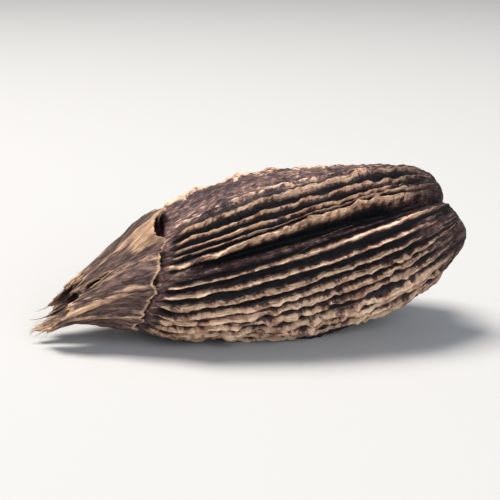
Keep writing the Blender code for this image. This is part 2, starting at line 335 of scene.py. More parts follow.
# Tints that those tones are multiplied by
STALK_END_TINT = (0.17, 0.15, 0.18, 1.0)
# Painted light: brightens the smooth side of the first furrow, where the lip's shadow falls
FLANK_LIGHT_TINT = (1.7, 1.65, 1.75, 1.0)
BLOTCH_TINT = (1.9, 1.75, 1.65, 1.0)
PORE_TINT = (0.35, 0.30, 0.30, 1.0)
HUSK_CRACK_TINT = (0.34, 0.24, 0.22, 1.0)
CALYX_CRACK_TINT = (0.38, 0.28, 0.26, 1.0)
SCAR_FIBRES = ((0.160, 0.095, 0.065, 1.0), (0.640, 0.440, 0.300, 1.0))  # dark and light
# How fleck, streak and patch count in a tone beside its grain, and where the colours change
FLECK_WEIGHT = 0.24
STREAK_WEIGHT = 0.55
PATCH_WEIGHT = 0.55
MIDDLE_PATCH = 0.35
MIDDLE_TONE = 0.97
DARK_TO_MID = (0.80, 1.10)
MID_TO_LIGHT = (1.06, 1.36)
RUST_TO_LIGHT = (0.82, 1.05)
CREST_WEARS = (0.20, 0.75)
# Where the painted shade of furrows and valleys starts to darken the colour, and where it is whole
SHADE_DARKENS = (0.06, 0.50)
BLOTCH_EDGE = (0.45, 0.62)
STREAK_EDGE = 0.09  # half the width of a thread in the streaks' noise
PORE_RIM = (0.05, 0.45)
PORE_SCALE = 0.8  # against the grain's own
PATCH_SCALE = 0.12

# The studio. Its soft lights: name, place, size, watts and colour
LIGHTS = [
    ("key", (-0.12, 0.10, 0.42), 0.20, 3.2, (1.0, 0.96, 0.91)),
    ("front", (0.15, -0.45, 0.25), 0.35, 1.90, (0.88, 0.93, 1.0)),
]
LIGHTS_AIM = (0.0, 0.0, 6.0 * MM)
SKY_COLOUR = (0.80, 0.88, 1.0, 1.0)
SKY_STRENGTH = 0.30
FLOOR_SIZE = 3.0
FLOOR_COLOUR = (0.500, 0.495, 0.487, 1.0)

# The photograph's view
CAMERA_AZIMUTH = math.radians(-12)
CAMERA_ELEVATION = math.radians(15)
LENS = 100.0
SENSOR = 36.0
VIEW_WIDTH = 41.0 * MM
CLIP_START = 1.0 * MM
CLIP_END = 20.0


def smoothstep(low, high, value):
    share = np.clip((value - low) / (high - low), 0.0, 1.0)
    return share * share * (3.0 - 2.0 * share)


def angle_from(angle, centre):
    """The signed angle from centre, between minus pi and pi."""
    return (angle - centre + math.pi) % (2.0 * math.pi) - math.pi


def bump(angle, centre, width):
    return np.exp(-((angle_from(angle, centre) / width) ** 2))


def outline_at(outline, along):
    """Distance and radius, in metres, at a share of the smooth curve through an outline."""
    knots = np.array(outline) * MM
    knots = np.vstack([2 * knots[0] - knots[1], knots, 2 * knots[-1] - knots[-2]])
    steps = np.linspace(0.0, 1.0, OUTLINE_STEPS, endpoint=False)[:, None]
    spans = []
    for before, start, end, after in zip(knots, knots[1:], knots[2:], knots[3:], strict=False):
        spans.append(
            start
            + 0.5 * steps * (end - before)
            + steps**2 * (before - 2.5 * start + 2 * end - 0.5 * after)
            + steps**3 * (1.5 * (start - end) + 0.5 * (after - before))
        )
    curve = np.vstack([*spans, knots[-2:-1]])
    length = np.concatenate([[0.0], np.cumsum(np.linalg.norm(np.diff(curve, axis=0), axis=1))])
    share = length / length[-1]
    return np.interp(along, share, curve[:, 0]), np.interp(along, share, curve[:, 1])


def on_cylinder(angle, distance, across, along):
    """A point on a cylinder of the pod's mean radius, in units of a patch's two sizes."""
    radius = MEAN_RADIUS / across
    return np.stack([radius * np.cos(angle), radius * np.sin(angle), distance / along], axis=-1)


def patches(angle, distance, across, along, seed, torn=0):
    """Noise from about -1 to 1, in patches of those sizes across and along the ribs.

    It is smooth, or torn into that many finer and finer levels.
    """
    spots = (on_cylinder(angle, distance, across, along) + seed * SEED_STEP).tolist()
    if torn:
        levels = [noise.fractal(spot, TORN_ROUGHNESS, TORN_STEP, torn) for spot in spots]
        return TORN_GAIN * np.array(levels)
    return NOISE_GAIN * np.array([noise.noise(spot) for spot in spots])


def relief_of(kind, angle, distance, seed, torn=0):
    """One kind of relief, given by its size across the ribs, its size along them and its height."""
    across, along, height = kind
    return height * patches(angle, distance, across, along, seed, torn)


def lumps(angle, distance, radius, size, seed):
    """Noise from about -1 to 1 in round lumps of that size, also where the fibres run together."""
    across, up = radius * np.cos(angle), radius * np.sin(angle)
    spots = (np.stack([distance, across, up], axis=-1) / size + seed * SEED_STEP).tolist()
    return NOISE_GAIN * np.array([noise.noise(spot) for spot in spots])


class Ribs:
    """The ribs' own places, heights, sways and reaches, drawn once from a seed."""

    def __init__(self):
        draw = random.Random(RIB_SEED)
        angles, heights = zip(*FRONT_RIBS, strict=True)
        hidden = RIBS - len(FRONT_RIBS)
        gaps = np.array([draw.uniform(*HIDDEN_RIB_GAPS) for _ in range(hidden + 1)])
        front = np.radians(angles)
        rest = front[-1] + (front[0] + 2 * math.pi - front[-1]) * np.cumsum(gaps)[:-1] / gaps.sum()
        self.crests = np.concatenate([front, rest, front[:1] + 2 * math.pi])
        middles = 0.5 * (self.crests[:-1] + self.crests[1:])
        self.valleys = np.concatenate([middles[-1:] - 2 * math.pi, middles])
        hidden_heights = [draw.uniform(*HIDDEN_RIB_HEIGHTS) for _ in range(hidden)]
        self.heights = np.array([*heights, *hidden_heights])
        self.starts = np.array([draw.uniform(*RIB_STARTS) for _ in range(RIBS)])
        self.sway_lengths = np.array([draw.uniform(*SWAY_LENGTHS) for _ in range(RIBS)])
        self.sway_phases = np.array([draw.uniform(0.0, 2 * math.pi) for _ in range(RIBS)])
        self.tooth_lengths = np.array([draw.uniform(*TOOTH_LENGTHS) for _ in range(RIBS)])
        self.tooth_phases = np.array([draw.uniform(0.0, 2 * math.pi) for _ in range(RIBS)])

    def sway(self, rib, distance):
        rib = rib % RIBS
        wave = 2 * math.pi * distance / self.sway_lengths[rib] + self.sway_phases[rib]
        return RIB_SWAY * np.sin(wave)

    def split(self, turn):
        """Which rib a point is on, and how far across it, from 0 to 1."""
        place = turn * RIBS
        rib = np.minimum(place.astype(int), RIBS - 1)
        return rib, place - rib

    def angle(self, turn, distance):
        """The angle at mid length of the line that passes a point, which sways from rib to rib."""
        rib, share = self.split(turn)
        low = self.valleys[rib] + self.sway(rib, distance)
        high = self.valleys[rib + 1] + self.sway(rib + 1, distance)
        middle = self.crests[rib] + 0.5 * (self.sway(rib, distance) + self.sway(rib + 1, distance))
        rising = low + 2 * share * (middle - low)
        falling = middle + (2 * share - 1) * (high - middle)
        return np.where(share < 0.5, rising, falling)

    def crest(self, turn):
        """0 in a valley and 1 on a crest."""
        return 1.0 - np.abs(2.0 * self.split(turn)[1] - 1.0)

    def strength(self, turn, distance, angle):
        """How tall the rib stands here, as a share of a full rib."""
        rib = self.split(turn)[0]
        wave = 2 * math.pi * distance / self.tooth_lengths[rib] + self.tooth_phases[rib]
        tooth = np.sin(wave) * np.sin(TOOTH_BEAT * wave + rib)
        reach = smoothstep(*RIB_START_FADE, distance - self.starts[rib])
        reach = reach * (1.0 - smoothstep(RIBS_END - RIBS_END_FADE, RIBS_END, distance))
        strength = np.ones_like(angle)
        for centre, width, loss in SMOOTH_FACES:
            strength -= loss * bump(angle, centre, width)
        full = self.heights[rib] * np.maximum(strength, FAINTEST_RIB)
        return full * reach * (1.0 + RIB_TEETH * tooth)


def furrow_depth(angle, distance):
    """How far the three furrows between the lobes sink in, from the stalk scar to the calyx."""
    depth = np.zeros_like(angle)
    fade = FURROW_AT_SCAR + (1.0 - FURROW_AT_SCAR) * smoothstep(*FURROW_FADE_IN, distance)
    fade = fade * (1.0 - smoothstep(RIBS_END - FURROW_FADE_OUT, RIBS_END, distance))
    for centre, deepest, above, below in FURROWS:
        offset = angle_from(angle, centre)
        width = np.where(offset > 0.0, above, below)
        depth += deepest * fade * np.exp(-((offset / width) ** 2))
    return depth


def axis_rise(distance):
    """How far the pod's bent axis lies above a straight one."""
    lift = STALK_LIFT * np.exp(-np.maximum(distance, 0.0) / STALK_BEND)
    return lift - TIP_DROOP * np.clip(distance / HUSK_LENGTH, 0.0, 2.0) ** 3


def lay_down(distance, radius, angle, rise):
    """Sets points given round the pod's own axis down on the surface, as columns x, y and z."""
    turned = angle + TWIST * (distance - MID_LENGTH)
    slant = COLLAR_SLANT * 0.5 * (1.0 - np.sin(turned)) * smoothstep(*SLANT_SPAN, distance)
    along_axis = AXIS_CENTRE - distance - slant
    side = -radius * WIDTH_SHARE * np.cos(turned) + AXIS_SIDE
    fuller = BELLY * (1.0 - 2.0 * smoothstep(*BELLY_SPAN, distance))
    belly = 1.0 + fuller * np.maximum(-np.sin(turned), 0.0)
    up = radius * HEIGHT_SHARE * belly * np.sin(turned) + rise
    x = along_axis * math.cos(AXIS_TILT) - up * math.sin(AXIS_TILT)
    z = along_axis * math.sin(AXIS_TILT) + up * math.cos(AXIS_TILT) + AXIS_HEIGHT
    return np.stack([x, side, np.maximum(z, 0.0)], axis=-1)


def rib_relief(angle, distance, crest, strength, on_lip):
    """How far the ribs and rest spots stand out, and how ragged the ribs' edges are."""
    ragged = 1.0 + relief_of(RAGGED_EDGE, angle, distance, seed=1, torn=3) * crest
    tears = patches(angle, distance, *BROKEN_EDGE[:2], seed=9)
    broken = smoothstep(*BREAKS, tears) * (1.0 - on_lip)
    ragged = ragged * (1.0 - BROKEN_EDGE[2] * broken * crest)
    thin = WING_SHARE * crest**WING_SHARPNESS + (1.0 - WING_SHARE) * crest**RIB_SHARPNESS
    broad = 1.0 + relief_of(LIP_LUMPS, angle, distance, seed=10, torn=3)
    broad = broad * smoothstep(*LIP_SWELLS, crest)
    raised = RIB_HEIGHT * strength * ragged * (thin + on_lip * (broad - thin))
    spot = np.zeros_like(angle)
    for centre, middle in REST_SPOTS:
        reach = np.exp(-(((distance - middle) / REST_SPOT_LENGTH) ** 2))
        spot = np.maximum(spot, bump(angle, centre, REST_SPOT_WIDTH) * reach)
    return np.maximum(raised, REST_SPOT_FILL * spot), ragged


def skin_relief(angle, distance, radius):
    """How far the skin's ridges, wrinkles, grain and lumps stand out."""
    relief = np.zeros_like(angle)
    for seed, kind in enumerate(SKIN_RELIEF, start=20):
        relief += relief_of(kind, angle, distance, seed)
    near_end = 1.0 - smoothstep(*END_RELIEF_FADE, distance)
    for seed, (size, height) in enumerate(END_RELIEF, start=30):
        relief += height * near_end * lumps(angle, distance, radius, size, seed)
    return relief


def sideways_relief(angle, distance, crest, strength, on_lip):
    """How far the ribs' crests wander sideways, and the lip leans over its furrow."""
    sideways = relief_of(CRINKLE, angle, distance, seed=5)
    sideways += relief_of(FINE_CRINKLE, angle, distance, seed=7)
    sideways = sideways * crest**2 * np.minimum(strength, 1.0)
    edge = LIP_OVERHANG + relief_of(LIP_EDGE, angle, distance, seed=6, torn=4)
    return sideways - on_lip * edge * smoothstep(*LIP_LEANS, crest) * np.clip(strength, 0.0, 1.0)


def stalk_scar(angle, distance, radius, at_stalk):
    """Masks of the scar's torn rim and of the pit inside it, and how deep the pit is."""
    rim_radius, rim_width, _ = SCAR_RIM
    rim = np.exp(-(((radius - rim_radius) / rim_width) ** 2)) * at_stalk
    size, share = SCAR_RIM_LUMPS
    rim = rim * (1.0 + share * lumps(angle, distance, radius, size, seed=8))
    pit = (1.0 - smoothstep(SCAR_PIT_FLOOR * rim_radius, rim_radius, radius)) * at_stalk
    size, share = SCAR_PIT_LUMPS
    depth = SCAR_PIT * pit * (1.0 + share * lumps(angle, distance, radius, size, seed=12))
    return rim, pit, depth


def husk_surface(turn, along, lift=0.0):
    """The husk's points, lifted off it by lift, what its skin is like at each, and where it lies.

    The masks tell how far up a crest a point is, how much painted shade it takes in a furrow or
    between ribs, how near the stalk, where painted light brightens the lip-shaded side of the first
    furrow, and so on. Where it lies is told on a straight cylinder, which the fibres of the skin
    follow.
    """
    ribs = Ribs()
    distance, radius = outline_at(HUSK_OUTLINE, along)
    angle = ribs.angle(turn, distance)
    turned = angle + TWIST * (distance - MID_LENGTH)
    crest = ribs.crest(turn)
    on_lip = (ribs.split(turn)[0] == LIP).astype(float)
    lip_size = LIP_THINNEST + (1.0 - LIP_THINNEST) * smoothstep(*LIP_FADE, distance)
    strength = ribs.strength(turn, distance, angle) * (1.0 + on_lip * (lip_size - 1.0))
    sunk = np.minimum(furrow_depth(angle, distance), DEEPEST_SHARE * radius)
    raised, ragged = rib_relief(angle, distance, crest, strength, on_lip)
    relief_share = smoothstep(0.0, RELIEF_RADIUS, radius)
    out = radius - sunk + raised + relief_share * skin_relief(angle, distance, radius) + lift
    sideways = sideways_relief(angle, distance, crest, strength, on_lip)
    bent = angle + relief_share * sideways / np.maximum(radius, BEND_RADIUS)

    rim, pit, pit_depth = stalk_scar(angle, distance, radius, along < 0.5)
    place = distance - SCAR_RIM[2] * rim + pit_depth
    shoulder = np.exp(-distance / LOBE_END_REACH) * smoothstep(0.0, SCAR_RADIUS, radius)
    for centre, length in LOBE_ENDS:
        place = place - length * shoulder * bump(turned, centre, LOBE_END_WIDTH)

    # Painted shade: the valleys between strong ribs, and the furrows, are painted dark
    valley = (1.0 - crest) * np.clip(VALLEY_SHADE_GAIN * strength, 0.0, 1.0)
    worn = smoothstep(*WORN_RIBS, strength) * np.clip(ragged, *WORN_EDGE)
    dark_from, dark_to, further_on_top = DARK_END
    dark_to = dark_to + further_on_top * bump(angle, *DARK_TOP)
    comes, whole, fades, gone = FLANK_LIGHT_SPAN
    flank_light = smoothstep(comes, whole, distance) * (1.0 - smoothstep(fades, gone, distance))
    skin = {
        "crest": worn * smoothstep(*WORN_BAND, crest),
        # painted shade, near black down the furrows and between the ribs
        "painted_shade": np.clip(np.maximum((sunk / DEEPEST_FURROW) ** 3, VALLEY_SHADE * valley), 0.0, 1.0),
        "stalk_end": 1.0 - smoothstep(dark_from, dark_to, distance),
        # painted light on the side of the first furrow that the lip shades
        "flank_light": bump(angle, *FLANK_LIGHT) * flank_light,
        "scar": np.clip(rim + SCAR_PIT_TONE * pit, 0.0, 1.0),
        "lip": on_lip * smoothstep(*LIP_BAND, crest) * np.clip(strength, 0.0, 1.0),
    }
    points = lay_down(place, out, bent, axis_rise(place))
    return points, skin, on_cylinder(angle, distance, 1.0, 1.0)


def mesh_object(name, shape, material):
    """A smooth piece that rides on the pod's body and shows in one of its material slots."""
    mesh = bpy.data.meshes.new(name)
    shape.to_mesh(mesh)
    shape.free()
    made = bpy.data.objects.new(name, mesh)
    bpy.context.scene.collection.objects.link(made)
    mesh.shade_smooth()
    mesh.materials.append(material)
    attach(made, BODY)
    return made


def write_skin(mesh, skin, run):
    """Keeps the skin's masks on the mesh's points, and run, the place that fibres follow."""
    for name, values in skin.items():
        mask = mesh.attributes.new(name, "FLOAT", "POINT")
        mask.data.foreach_set("value", values.astype(np.float32))
    places = mesh.attributes.new("run", "FLOAT_VECTOR", "POINT")
    places.data.foreach_set("vector", run.astype(np.float32).ravel())


def crowd_to_crests(turn):
    """Moves the columns of a rib towards its crest, so that its thin wing is drawn finely."""
    place = turn * RIBS
    share = place % 1.0
    return (place + CREST_CROWDING * np.sin(2 * math.pi * share) / (2 * math.pi)) / RIBS


def make_husk(material):
    shape = bmesh.new()
    columns = RIBS * COLUMNS_PER_RIB
    bmesh.ops.create_uvsphere(shape, u_segments=columns, v_segments=HUSK_ROWS, radius=1.0)
    ball = np.array([v.co for v in shape.verts])
    turn = (np.arctan2(ball[:, 1], ball[:, 0]) / (2 * math.pi)) % 1.0
    turn = np.round(turn * columns) / columns % 1.0
    along = np.arccos(np.clip(ball[:, 2], -1.0, 1.0)) / math.pi
    points, skin, run = husk_surface(crowd_to_crests(turn), along)
    for vertex, place in zip(shape.verts, points.tolist(), strict=True):
        vertex.co = place
    shape.normal_update()
    bmesh.ops.recalc_face_normals(shape, faces=shape.faces)
    husk = mesh_object("husk_skin", shape, material)
    write_skin(husk.data, skin, run)
    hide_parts("husk")
    return husk


def calyx_surface(turn, along, lift=0.0):
    """The calyx's points, lifted off it by lift, what its paper is like at each, and where it lies.

    The masks tell how far up a vein or fold a point is, and how near the root's rim, the mouth
    and the peeled flap.
    """
    angle = 2 * math.pi * turn
    draw = random.Random(CALYX_SEED)
    waves = [np.sin(rate * angle + draw.uniform(0.0, 2 * math.pi)) for rate in MOUTH_WAVES]
    reach = 1.0 + MOUTH_RAGGEDNESS * (np.mean(waves, axis=0) - 1.0)
    for centre, width, share in TEARS:
        offset = np.abs(angle_from(angle, centre)) / width
        reach = reach * (1.0 - share * np.maximum(0.0, 1.0 - offset))
    still = np.zeros_like(angle)
    thread, pull = TORN_THREADS
    reach = reach * (1.0 + pull * patches(angle, still, thread, 1.0, seed=11))
    peeled = bump(angle, FLAP_ANGLE, FLAP_WIDTH)
    start = ROOT_LAP * 0.5 * (1.0 - np.sin(angle)) + FLAP_GAP * smoothstep(*FLAP_OPENS, peeled)
    notch, bite = ROOT_NOTCHES
    start = start + bite * patches(angle, still, notch, 1.0, seed=14, torn=4)
    start = np.maximum(start, 0.0)
    place = start + along * (reach - start)
    distance, radius = outline_at(CALYX_OUTLINE, place)

    wander = relief_of(VEIN_SWAY, angle, distance, seed=15)
    vein = (0.5 + 0.5 * np.cos(CALYX_VEINS * angle + 2 * math.pi * wander)) ** VEIN_SHARPNESS
    vein = vein * (1.0 - VEIN_FADE[2] + relief_of(VEIN_FADE, angle, distance, seed=16))
    fold = bump(angle, FOLD_ANGLE + FOLD_SWAY * wander, FOLD_WIDTH)
    radius = radius + VEIN_HEIGHT * vein + FOLD_HEIGHT * fold
    radius = radius + FLAP_LIFT * peeled * (1.0 - smoothstep(0.0, FLAP_LENGTH, place))
    curl = (1.0 - smoothstep(0.0, FLAP_CURL_LENGTH, along)) ** 2
    radius = radius + FLAP_CURL * peeled**2 * curl
    past_root = smoothstep(0.0, PAPER_RELIEF_FADE, place)
    for seed, kind in enumerate(PAPER_RELIEF, start=17):
        radius = radius + relief_of(kind, angle, distance, seed) * past_root
    squash = 1.0 - CALYX_FLATTEN * smoothstep(0.0, 1.0, place) * np.sin(angle) ** 2
    untwisted = angle - TWIST * (distance - MID_LENGTH)
    rise = axis_rise(distance) - CALYX_DROOP * place**2
    points = lay_down(distance, radius * squash + lift, untwisted, rise)
    skin = {
        "crest": np.clip(np.maximum(vein, FOLD_TONE * fold), 0.0, 1.0),
        "rim": 1.0 - smoothstep(*RIM_BAND, along),
        "mouth": smoothstep(*MOUTH_BAND, along),
        "peeled": smoothstep(*PEELED_BAND, peeled) * (1.0 - smoothstep(*PEELED_FADE, place)),
    }
    return points, skin, on_cylinder(angle, distance, 1.0, 1.0)


def make_calyx(material):
    """An open tube with a ragged, torn mouth, given its paper's thickness inwards."""
    shape = bmesh.new()
    bmesh.ops.create_grid(shape, x_segments=CALYX_COLUMNS, y_segments=CALYX_ROWS, size=0.5)
    flat = np.array([v.co for v in shape.verts]) + 0.5
    points, skin, run = calyx_surface(flat[:, 0], flat[:, 1])
    for vertex, place in zip(shape.verts, points.tolist(), strict=True):
        vertex.co = place
    layers = {name: shape.verts.layers.float.new(name) for name in skin}
    run_layer = shape.verts.layers.float_vector.new("run")
    for index, vertex in enumerate(shape.verts):
        for name, layer in layers.items():
            vertex[layer] = skin[name][index]
        vertex[run_layer] = run[index]
    bmesh.ops.remove_doubles(shape, verts=shape.verts, dist=1e-6)
    shape.normal_update()
    bmesh.ops.recalc_face_normals(shape, faces=shape.faces)
    calyx = mesh_object("calyx_paper", shape, material)
    wall = calyx.modifiers.new("paper", "SOLIDIFY")
    wall.thickness = CALYX_PAPER
    wall.offset = -1.0
    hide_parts("calyx")
    return calyx


def thread_steps(draw, count, lengths, thicknesses):
    """Each thread's own draw of length and thickness, and its points' shares along it."""
    for _ in range(count):
        share = np.linspace(0.0, 1.0, THREAD_POINTS)
        yield draw.uniform(*lengths), draw.uniform(*thicknesses), share


def heading(draw, forward, spans):
    """A direction with that much along X, and the rest drawn from a span across and one upwards."""
    return np.array([forward, *(draw.uniform(*span) for span in spans)])


def husk_threads(draw):
    """Fibres that have come away from the ribs' crests and lift at one end."""
    for length, thickness, share in thread_steps(draw, *HUSK_THREADS):
        rib = draw.randrange(RIBS)
        start = draw.uniform(*HUSK_THREAD_STARTS)
        along = start + draw.choice((-1.0, 1.0)) * length / HUSK_ARC * share
        along = np.clip(along, *HUSK_THREAD_REACH)
        side = 0.5 + draw.uniform(*HUSK_THREAD_PLACES)
        side = side + draw.uniform(*HUSK_THREAD_STRAYS) * share**2
        lift = HUSK_THREAD_LIFT * draw.uniform(*HUSK_THREAD_LIFTS) * share**HUSK_THREAD_CURVE
        yield husk_surface((rib + side) / RIBS % 1.0, along, THREAD_GAP + lift)[0], thickness


def mouth_threads(draw):
    """Torn ends of the calyx's own fibres, which reach past its mouth and curl."""
    low, _ = CAD_BOX
    roots = np.array(MOUTH_THREAD_ROOTS)
    for length, thickness, share in thread_steps(draw, *MOUTH_THREADS):
        on_paper = calyx_surface(np.full_like(roots, draw.random()), roots, THREAD_GAP)[0]
        ahead = on_paper[-1] - on_paper[0]
        ahead = ahead / np.linalg.norm(ahead)
        bend = heading(draw, 0.0, MOUTH_THREAD_BENDS)
        length = min(length, on_paper[-1][0] - low[0] + THREADS_PROUD)
        free = on_paper[-1] + length * (share[1:, None] * ahead + share[1:, None] ** 2 * bend)
        free[:, 2] = np.maximum(free[:, 2], thickness)
        yield np.vstack([on_paper, free]), thickness


def scar_threads(draw):
    """The stubs of the stalk's fibres round its scar."""
    for length, thickness, share in thread_steps(draw, *SCAR_THREADS):
        turn = np.array([draw.random()])
        root = husk_surface(turn, np.array([draw.uniform(*SCAR_THREAD_ROOTS)]))[0][0]
        out = heading(draw, 1.0, SCAR_THREAD_SPREADS)
        bend = heading(draw, 0.0, SCAR_THREAD_BENDS)
        path = share[:, None] * out + share[:, None] ** 2 * bend - SCAR_THREAD_DEPTH * out
        yield root + length * path, thickness


def make_threads(name, paths, material):
    """Thin tapering fibres, one along each path."""
    curve = bpy.data.curves.new(name, "CURVE")
    curve.dimensions = "3D"
    curve.bevel_depth = 0.5  # so a point's radius is the fibre's thickness there
    curve.bevel_resolution = 1
    curve.use_fill_caps = True
    for path, thickness in paths:
        spline = curve.splines.new("POLY")
        spline.points.add(len(path) - 1)
        shares = np.linspace(0.0, 1.0, len(path))
        for point, place, share in zip(spline.points, path, shares, strict=True):
            point.co = (*place, 1.0)
            point.radius = thickness * (1.0 - THREAD_TAPER * share**2)
    holder = bpy.data.objects.new(name, curve)
    shape = bmesh.new()
    shape.from_mesh(bpy.data.meshes.new_from_object(holder))
    bpy.data.objects.remove(holder)
    shape.normal_update()
    bmesh.ops.recalc_face_normals(shape, faces=shape.faces)
    return mesh_object(name, shape, material)


def node(tree, kind, **settings):
    made = tree.nodes.new(kind)
    for name, value in settings.items():
        setattr(made, name, value)
    return made


def set_inputs(made, **values):
    for name, value in values.items():
        made.inputs[name.replace("_", " ")].default_value = value
    return made


def math_node(tree, operation, first, second, clamp=False):
    """A Math node on two sockets or numbers, and its output."""
    made = node(tree, "ShaderNodeMath", operation=operation, use_clamp=clamp)
    for index, value in enumerate((first, second)):
        if isinstance(value, (int, float)):
            made.inputs[index].default_value = value
        else:
            tree.links.new(value, made.inputs[index])
    return made.outputs[0]


def mix_colours(tree, share, first, second, blend="MIX"):
    made = node(tree, "ShaderNodeMix", data_type="RGBA", blend_type=blend, clamp_factor=True)
    for index, value in ((0, share), (6, first), (7, second)):
        socket = made.inputs[index]
        if isinstance(value, bpy.types.NodeSocket):
            tree.links.new(value, socket)
        else:
            socket.default_value = value
    return made.outputs[2]


def add_weighted(tree, total, *parts):
    """A total with textures added to it, each by its weight."""
    for texture, weight in parts:
        total = math_node(tree, "ADD", total, math_node(tree, "MULTIPLY", texture, weight))
    return total


def ramp(tree, value, low, high):
    """0 below low, 1 above high, and smooth between."""
    made = node(tree, "ShaderNodeMapRange", interpolation_type="SMOOTHSTEP", clamp=True)
    tree.links.new(value, made.inputs[0])
    made.inputs[1].default_value = low
    made.inputs[2].default_value = high
    return made.outputs[0]


def new_group(name, inputs, outputs):
    """A shader node group with named sockets, whose kinds follow from their defaults."""
    group = bpy.data.node_groups.new(name, "ShaderNodeTree")
    kinds = {float: "NodeSocketFloat", tuple: "NodeSocketColor", list: "NodeSocketVector"}
    for label, default in inputs.items():
        socket = group.interface.new_socket(label, in_out="INPUT", socket_type=kinds[type(default)])
        socket.default_value = default
    for label, default in outputs.items():
        group.interface.new_socket(label, in_out="OUTPUT", socket_type=kinds[type(default)])
    return group, node(group, "NodeGroupInput").outputs, node(group, "NodeGroupOutput").inputs


def use_group(tree, group, links, **values):
    made = node(tree, "ShaderNodeGroup", node_tree=group)
    for label, socket in links.items():
        tree.links.new(socket, made.inputs[label])
    set_inputs(made, **values)
    return made.outputs


def fibre_group():
    """Streaks that follow the fibres: Streak varies softly, and Thread stands out thin."""
    group, given, out = new_group(
        "fibre streaks",
        {"Run": [0.0, 0.0, 0.0], "Across mm": 0.3, "Along mm": 4.0},
        {"Streak": 0.0, "Thread": 0.0},
    )
    sizes = node(group, "ShaderNodeCombineXYZ")
    for axis, label in enumerate(("Across mm", "Across mm", "Along mm")):
        group.links.new(math_node(group, "DIVIDE", 1.0 / MM, given[label]), sizes.inputs[axis])
    scaled = node(group, "ShaderNodeVectorMath", operation="MULTIPLY")
    group.links.new(given["Run"], scaled.inputs[0])
    group.links.new(sizes.outputs[0], scaled.inputs[1])
    streak = set_inputs(node(group, "ShaderNodeTexNoise"), Scale=1.0, Detail=3.0, Roughness=0.6)
    group.links.new(scaled.outputs[0], streak.inputs["Vector"])
    ridged = math_node(group, "ABSOLUTE", math_node(group, "SUBTRACT", streak.outputs[0], 0.5), 0.0)
    group.links.new(streak.outputs[0], out["Streak"])
    thread = math_node(group, "SUBTRACT", 1.0, ramp(group, ridged, 0.0, STREAK_EDGE))
    group.links.new(thread, out["Thread"])
    return group


def grain_group():
    """A dry surface's grain: its height, its dark pits, and the tones of its flecks and patches."""
    group, given, out = new_group(
        "dry grain",
        {"Vector": [0.0, 0.0, 0.0], "Size mm": 0.4},
        {"Grain": 0.0, "Pits": 0.0, "Fleck": 0.0, "Patch": 0.0},
    )
    scale = math_node(group, "DIVIDE", 1.0 / MM, given["Size mm"])
    grain = set_inputs(node(group, "ShaderNodeTexNoise"), Detail=5.0, Roughness=0.65)
    pores = set_inputs(node(group, "ShaderNodeTexVoronoi", feature="F1"), Randomness=1.0)
    patch = set_inputs(node(group, "ShaderNodeTexNoise"), Detail=2.0, Roughness=0.5)
    for texture, share in ((grain, 1.0), (pores, PORE_SCALE), (patch, PATCH_SCALE)):
        group.links.new(given["Vector"], texture.inputs["Vector"])
        group.links.new(math_node(group, "MULTIPLY", scale, share), texture.inputs["Scale"])
    group.links.new(grain.outputs[0], out["Grain"])
    from_pore = ramp(group, pores.outputs["Distance"], *PORE_RIM)
    group.links.new(math_node(group, "SUBTRACT", 1.0, from_pore), out["Pits"])
    fleck = node(group, "ShaderNodeSeparateColor")
    group.links.new(pores.outputs["Color"], fleck.inputs[0])
    group.links.new(fleck.outputs[0], out["Fleck"])
    group.links.new(patch.outputs[0], out["Patch"])
    return group


def tone_group():
    """A dried surface's colour: painted shade in furrows, light on worn crests, and mottled by its
    tone.
    """
    group, given, out = new_group(
        "dried tones",
        {
            "Shade": (0.01, 0.007, 0.006, 1.0),
            "Dark": (0.05, 0.03, 0.02, 1.0),
            "Mid": (0.2, 0.12, 0.09, 1.0),
            "Rust": (0.4, 0.22, 0.13, 1.0),
            "Light": (0.5, 0.35, 0.22, 1.0),
            "Crest": 0.0,
            "Painted shade": 0.0,
            "Patchy": 1.0,
            "Grain": 0.5,
            "Fleck": 0.5,
            "Streak": 0.5,
            "Patch": 0.5,
        },
        {"Colour": (0.0, 0.0, 0.0, 1.0)},
    )
    patch = math_node(group, "SUBTRACT", given["Patch"], MIDDLE_PATCH)
    tone = add_weighted(
        group,
        given["Grain"],
        (given["Fleck"], FLECK_WEIGHT),
        (given["Streak"], STREAK_WEIGHT),
        (patch, PATCH_WEIGHT),
    )
    mottled = mix_colours(group, ramp(group, tone, *DARK_TO_MID), given["Dark"], given["Mid"])
    flecked = mix_colours(group, ramp(group, tone, *MID_TO_LIGHT), mottled, given["Light"])
    edge = math_node(group, "SUBTRACT", tone, MIDDLE_TONE)
    edge = math_node(group, "MULTIPLY", edge, given["Patchy"])
    worn = ramp(group, math_node(group, "ADD", given["Crest"], edge), *CREST_WEARS)
    bare = mix_colours(group, ramp(group, tone, *RUST_TO_LIGHT), given["Rust"], given["Light"])
    crested = mix_colours(group, worn, flecked, bare)
    # Painted shade: the colour goes towards the darkest tone in furrows and valleys
    deep = ramp(group, given["Painted shade"], *SHADE_DARKENS)
    group.links.new(mix_colours(group, deep, crested, given["Shade"]), out["Colour"])
    return group


def new_material(name, roughness, specular):
    material = bpy.data.materials.new(name)
    material.use_nodes = True
    shader = material.node_tree.nodes["Principled BSDF"]
    set_inputs(shader, Roughness=roughness, Metallic=0.0, Specular_IOR_Level=specular)
    return material, material.node_tree, shader


def attribute(tree, name, output="Fac"):
    return node(tree, "ShaderNodeAttribute", attribute_name=name).outputs[output]


def add_bump(tree, shader, height, distance, strength):
    made = node(tree, "ShaderNodeBump")
    made.inputs["Strength"].default_value = strength
    made.inputs["Distance"].default_value = distance
    tree.links.new(height, made.inputs["Height"])
    tree.links.new(made.outputs[0], shader.inputs["Normal"])


